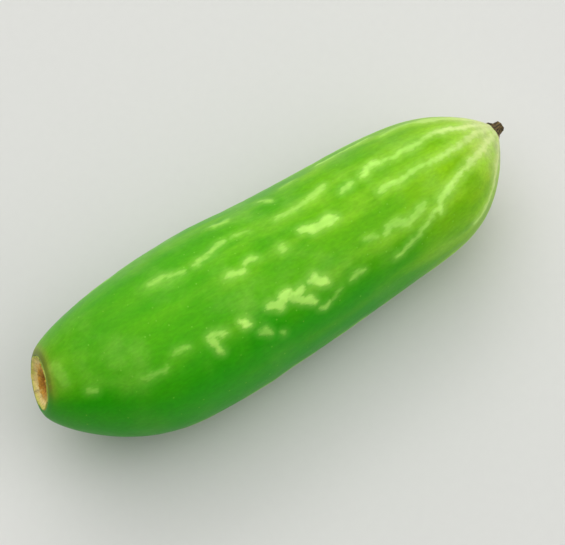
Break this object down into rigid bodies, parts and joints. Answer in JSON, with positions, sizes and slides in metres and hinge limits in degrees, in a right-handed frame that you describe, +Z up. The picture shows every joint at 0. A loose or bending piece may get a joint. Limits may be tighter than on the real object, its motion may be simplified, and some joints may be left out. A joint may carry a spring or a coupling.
{
  "type": "ivy gourd",
  "caption": "Whole unripe ivy gourd, slim and slightly bent, with a dished stem scar and a dried style on its blossom end, lying on its belly.",
  "frame": {"origin": "on the table that the gourd lies on, under the middle of its bounding box", "axes": "+X runs from the stem scar to the blossom end, -Y is the convex side of the bend, and +Z points up from the table"},
  "size_m": [0.063, 0.0198, 0.0195],
  "materials": {
    "gourd_skin": "satin",
    "stem_scar_cork": "matte",
    "dried_style": "matte"
  },
  "bodies": {
    "root": {"gourd": "gourd_skin"}
  },
  "joints": []
}
